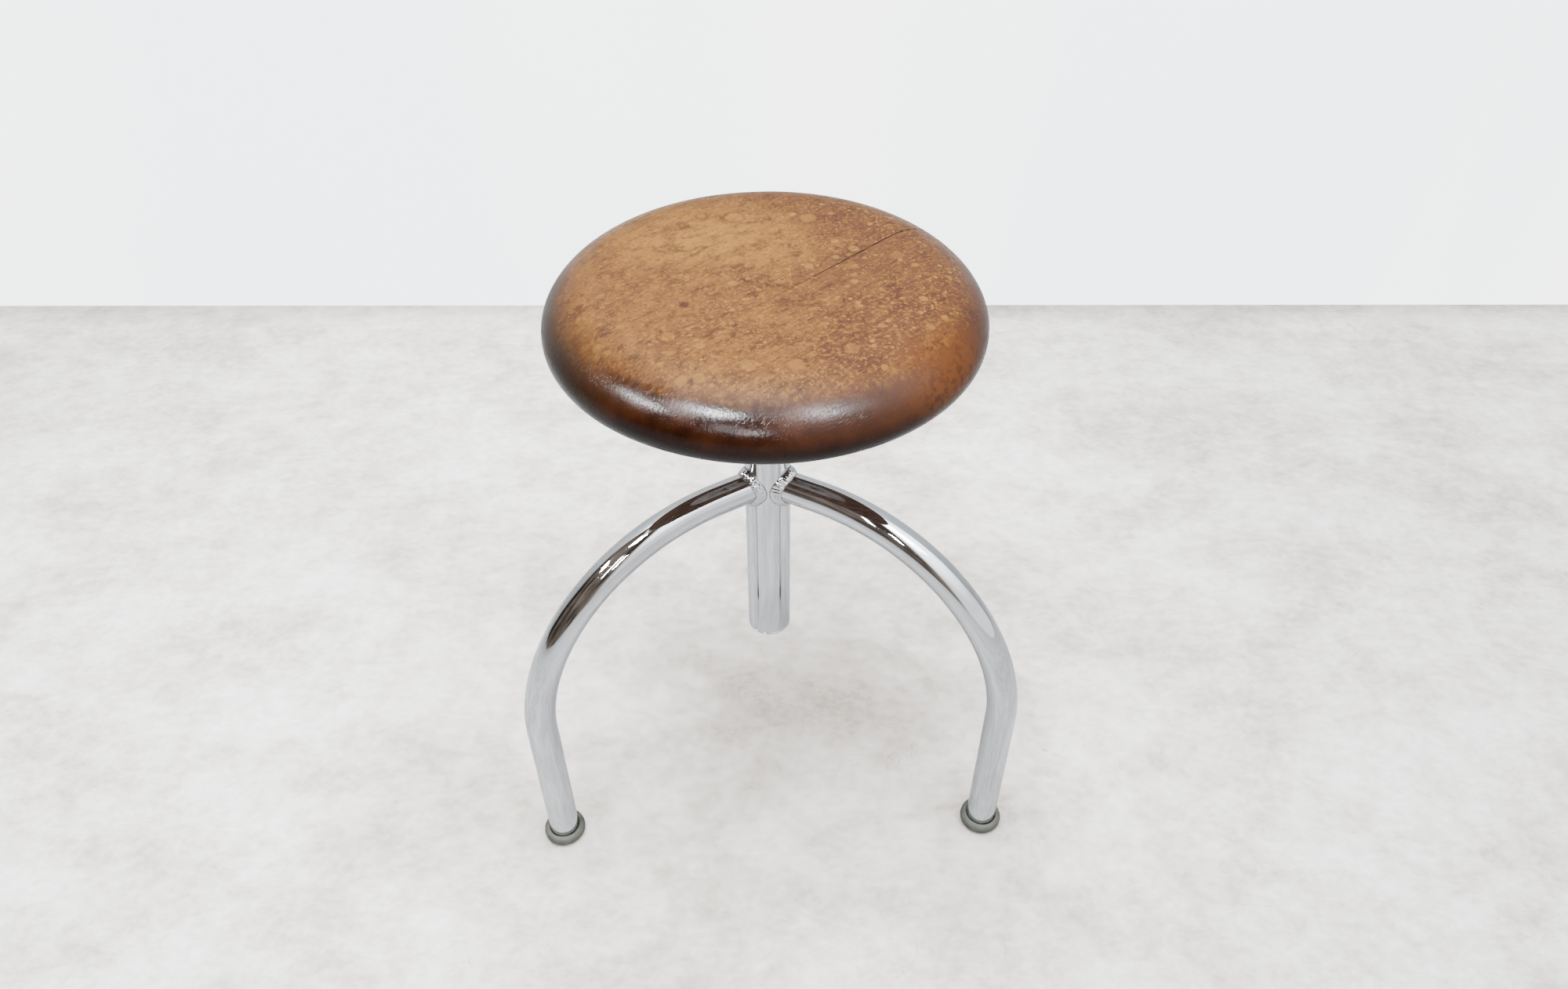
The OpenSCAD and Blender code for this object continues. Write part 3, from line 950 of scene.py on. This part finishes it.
# how far behind the stool the wall stands, and how much nearer it comes towards the right
WALL_Y = 765 * MM
WALL_TURN = math.tan(math.radians(1.76))
WALL_TALL = 3.0
STAGE_REACH = 8.0
LIGHT_AWAY = 3.0
# strength of the glow on floor and wall that only the camera sees
FLOOR_LIFT = 5.3
WALL_LIFT = 4.0
# the darker part of the room, in degrees from +X, and how bright everything round the stool is
DARK_SIDE, DARK_HALF_WIDTH, DEEPEST_SIDE = 218, 60, 174
SWEEP, CEILING, GLOOM = 1.9, 6.5, 0.20
BACKDROP = 5.5
OVERHEAD = 56


def lift(n, colour, strength):
    """Makes a stage surface look paler to the eye than the light it throws back on the stool."""
    seen = n.new("ShaderNodeLightPath").outputs["Is Camera Ray"]
    n.set(Emission_Color=colour, Emission_Strength=n.times(seen, strength))


def floor_material():
    """Pale poured floor: cloudy trowel marks, fine specks and a few hair cracks, with a painted pool of
    light and a painted shadow round the stool.
    """
    n = Nodes("studio_floor")
    p = n.place
    clouds = n.ramp(n.noise(n.stretch(p, (0.6, 1, 1)), 8, 6, 0.62, 0.4), 0.34, 0.66)
    patches = n.ramp(n.noise(p, 30, 5, 0.68), 0.34, 0.66)
    fine = n.noise(n.stretch(p, (0.7, 1, 1)), 110, 6, 0.78)
    tone = n.math("MULTIPLY_ADD", clouds, 0.45, n.times(patches, 0.30))
    tone = n.math("MULTIPLY_ADD", n.ramp(fine, 0.34, 0.66), 0.32, tone)
    base = n.mix(tone, srgb(122, 117, 111), srgb(180, 179, 178))
    # painted pool of light: the floor's colour is brightest left of and behind the stool and darker farther
    # out
    glow = n.ramp(n.vector("DISTANCE", p, (-0.25, 0.25, 0.0)), 1.05, 0.35, 0.74, 1.0)
    base = n.mix(1.0, base, n.join(glow, glow, glow), "MULTIPLY")
    hair = n.math("ABSOLUTE", n.minus(n.noise(p, 7, 4, 0.55, 1.2), 0.5))
    hair = n.times(n.ramp(hair, 0.0035, 0.0008), n.ramp(n.noise(p, 11, 2, 0.5), 0.60, 0.68))
    base = n.mix(n.times(hair, 0.5), base, srgb(84, 80, 76))
    speck = n.cells(p, 90)
    size = n.times(n.split(speck.outputs["Color"])[0], 0.07)
    dot = n.ramp(speck.outputs["Distance"], size, n.times(size, 0.5))
    dot = n.times(dot, n.ramp(n.split(speck.outputs["Color"])[1], 0.80, 0.84))
    base = n.mix(n.times(dot, 0.6), base, srgb(78, 74, 70))
    # the seat's soft shadow, and a tighter one where anything touches the floor
    from_axis = n.vector("DISTANCE", p, (18 * MM, 6 * MM, 0.0))
    from_axis = n.math("MULTIPLY_ADD", clouds, 0.045, from_axis)
    wide = n.ramp(from_axis, 0.60, 0.15, 1.0, 0.64)
    core = n.ramp(from_axis, 0.20, 0.020, 1.0, 0.56)
    shade = n.times(wide, core)
    touching = n.new("ShaderNodeAmbientOcclusion", samples=12)
    touching.inputs["Distance"].default_value = 0.06
    shade = n.times(shade, n.math("POWER", touching.outputs["AO"], 1.8))
    tint = n.mix(shade, srgb(255, 232, 204), srgb(255, 252, 248))
    lift(n, n.mix(1.0, base, tint, "MULTIPLY"), n.times(shade, FLOOR_LIFT))
    return n.set(Base_Color=base, Roughness=0.7, Normal=n.bump(fine, 0.2 * MM, 0.25))


def wall_material():
    """Near-white wall that isn't seen from behind, so the stool can be viewed from all round."""
    n = Nodes("studio_wall")
    cloud = n.noise(n.place, 1.5, 3, 0.5)
    n.set(Base_Color=n.mix(cloud, srgb(178, 181, 182), srgb(184, 187, 187)), Roughness=0.9)
    bands = n.ramp(n.noise(n.stretch(n.place, (1, 1, 0.15)), 1.8, 2, 0.5), 0.35, 0.65)
    lift(n, n.mix(bands, srgb(228, 239, 245), srgb(246, 247, 244)), WALL_LIFT)
    clear = n.new("ShaderNodeBsdfTransparent")
    facing = n.new("ShaderNodeNewGeometry")
    both = n.new("ShaderNodeMixShader")
    n.put(both.inputs[0], facing.outputs["Backfacing"])
    n.put(both.inputs[1], n.shader.outputs[0])
    n.put(both.inputs[2], clear.outputs[0])
    n.put(n.tree.nodes["Material Output"].inputs["Surface"], both.outputs[0])
    return n.material


def panel(name, corners, material):
    """One flat surface of the stage."""
    mesh = bpy.data.meshes.new(name)
    mesh.from_pydata(corners, [], [(0, 1, 2, 3)])
    obj = bpy.data.objects.new(name, mesh)
    bpy.context.scene.collection.objects.link(obj)
    return dress(obj, material)


def flat_direction(degrees):
    """The level direction at an angle from +X towards +Y."""
    return (math.cos(math.radians(degrees)), math.sin(math.radians(degrees)), 0)


def room(world):
    """What is round the stool: a white sweep and ceiling, and a darker room to the left in front.

    The camera itself sees a plain pale backdrop.
    """
    world.use_nodes = True
    t = Tree(world.node_tree)
    way = t.new("ShaderNodeTexCoord").outputs["Generated"]
    x, y, height = t.split(way)
    level = t.vector("NORMALIZE", t.join(x, y, 0.0))
    to_dark = t.vector("DOT_PRODUCT", level, flat_direction(DARK_SIDE))
    spread = math.radians(DARK_HALF_WIDTH)
    dark = t.ramp(to_dark, math.cos(spread + 0.12), math.cos(spread - 0.12))
    dark = t.times(dark, t.ramp(height, 0.97, 0.93))
    deepest = t.ramp(t.vector("DOT_PRODUCT", level, flat_direction(DEEPEST_SIDE)), 0.94, 0.985)
    deepest = t.times(deepest, t.ramp(height, 0.58, 0.45))
    furniture = t.ramp(t.noise(way, 3.2, 3, 0.6), 0.35, 0.65, 0.4, 1.9)
    sweep = t.ramp(height, 0.25, 0.88, SWEEP, CEILING)
    gloom = t.times(t.mix(deepest, (GLOOM, GLOOM, GLOOM, 1), (0.05, 0.045, 0.04, 1)), furniture)
    strength = t.plus(t.times(sweep, t.minus(1.0, dark)), t.times(gloom, dark))
    air = t.tree.nodes["Background"]
    t.put(air.inputs["Color"], t.mix(dark, srgb(246, 250, 255), srgb(246, 224, 206)))
    t.put(air.inputs["Strength"], strength)
    backdrop = t.new("ShaderNodeBackground")
    t.put(backdrop.inputs["Color"], srgb(238, 244, 246))
    t.put(backdrop.inputs["Strength"], BACKDROP)
    both = t.new("ShaderNodeMixShader")
    t.put(both.inputs[0], t.new("ShaderNodeLightPath").outputs["Is Camera Ray"])
    t.put(both.inputs[1], air.outputs[0])
    t.put(both.inputs[2], backdrop.outputs[0])
    t.put(t.tree.nodes["World Output"].inputs["Surface"], both.outputs[0])


def studio():
    """Pale floor and wall, the room round them, and the windows and lamp that light the stool."""
    reach, tall = STAGE_REACH, WALL_TALL
    ground = [(-reach, -reach, 0), (reach, -reach, 0), (reach, reach, 0), (-reach, reach, 0)]
    upright = [(-reach, 0), (reach, 0), (reach, tall), (-reach, tall)]
    panel("floor", ground, floor_material())
    panel("wall", [(x, WALL_Y - x * WALL_TURN, z) for x, z in upright], wall_material())
    world = bpy.data.worlds.new("studio_air")
    bpy.context.scene.world = world
    room(world)
    # direction from +X, height above level, angular width and height, radiance
    windows = {
        "window_left": (198, 41, 15, 4, 330),
        "window_high_left": (229, 61, 13, 8, 380),
        "window_high_right": (307, 60, 8, 16, 110),
        "ceiling_right": (314, 58, 26, 26, 9),
        "window_corner": (247, 36, 3, 16, 60),
        "window_front": (262, 31, 3, 10, 170),
    }
    for name, (compass, height, wide, tall, radiance) in windows.items():
        light = soft_light(name, compass, height, wide, tall, radiance)
        light.visible_diffuse = False
    overhead = soft_light("overhead", 200, 84, 24, 24, OVERHEAD)
    overhead.visible_glossy = False


def soft_light(name, compass, height, wide, tall, radiance):
    """A rectangular light of a given angular size, facing the seat from LIGHT_AWAY."""
    a, e = math.radians(compass), math.radians(height)
    direction = Vector((math.cos(a) * math.cos(e), math.sin(a) * math.cos(e), math.sin(e)))
    light = bpy.data.lights.new(name, "AREA")
    light.shape = "RECTANGLE"
    light.size = 2 * LIGHT_AWAY * math.tan(math.radians(wide / 2))
    light.size_y = 2 * LIGHT_AWAY * math.tan(math.radians(tall / 2))
    light.color = (0.93, 0.96, 1.0)
    light.energy = radiance * math.pi * light.size * light.size_y
    obj = bpy.data.objects.new(name, light)
    bpy.context.scene.collection.objects.link(obj)
    obj.location = Vector((0, 0, SEAT_TOP)) + direction * LIGHT_AWAY
    obj.rotation_euler = direction.to_track_quat("Z", "Y").to_euler()
    obj.visible_camera = False
    return obj


def camera():
    """The photograph's viewpoint: a little left of the stool's front, looking down."""
    data = bpy.data.cameras.new("camera")
    data.sensor_width = 36
    data.lens = VIEW_LENS
    data.shift_y = VIEW_SHIFT
    obj = bpy.data.objects.new("camera", data)
    bpy.context.scene.collection.objects.link(obj)
    obj.location = VIEW_FROM
    obj.rotation_euler = (math.radians(90 - LOOKING_DOWN), 0, math.radians(HEADING))
    bpy.context.scene.camera = obj


# ---------------------------------------------------------------- build

camera()
studio()

chrome = chrome_material()
welds = weld_material()
rubber = rubber_material()
fixings = steel_material("fixing_steel_grey", srgb(150, 149, 146))

seat_boards(wood_material())
column_tube_piece(chrome)
column_cap_piece(chrome)
for place in LEGS:
    leg_piece(place, chrome)
    weld_piece(place, welds)
    foot_piece(place, rubber)
nut_piece(steel_material("nut_steel_turned", srgb(150, 146, 140)))
spindle_piece(steel_material("spindle_steel_oiled", srgb(118, 115, 112), grease=0.7))
finish_small_pieces(dull_iron_material(), bronze_material(), fixings)
